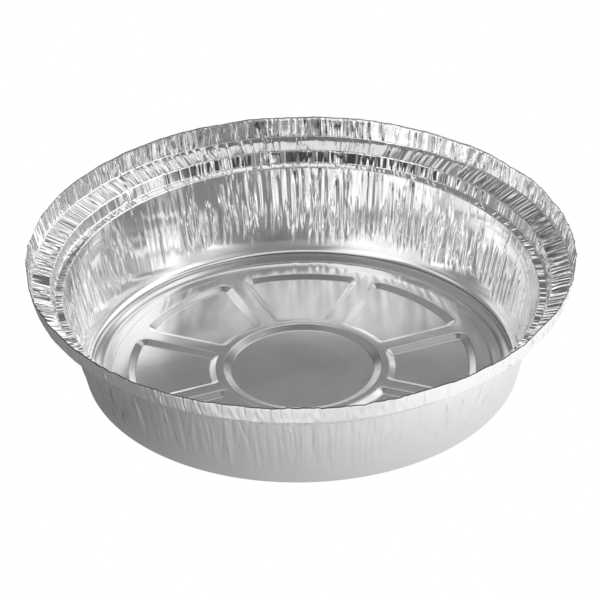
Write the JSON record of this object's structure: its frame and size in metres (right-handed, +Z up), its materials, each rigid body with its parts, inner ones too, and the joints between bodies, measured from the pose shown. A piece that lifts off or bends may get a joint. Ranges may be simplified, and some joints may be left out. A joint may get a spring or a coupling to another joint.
{
  "type": "foil pie tin",
  "caption": "Round disposable pie tin pressed from one sheet of wrinkled aluminium foil, with an upright flange, a lid shelf, a stepped wall and a ribbed base.",
  "frame": {"origin": "centre of the base, on the plane that the tin stands on", "axes": "+Z up through the open top, +X along the middle of one of the pressed panels"},
  "size_m": [0.2352, 0.2352, 0.056],
  "materials": {
    "foil": "bright rolled aluminium foil, finely wrinkled around the side, smooth on the pressed base"
  },
  "bodies": {
    "root": {"pan": "foil"}
  },
  "joints": []
}
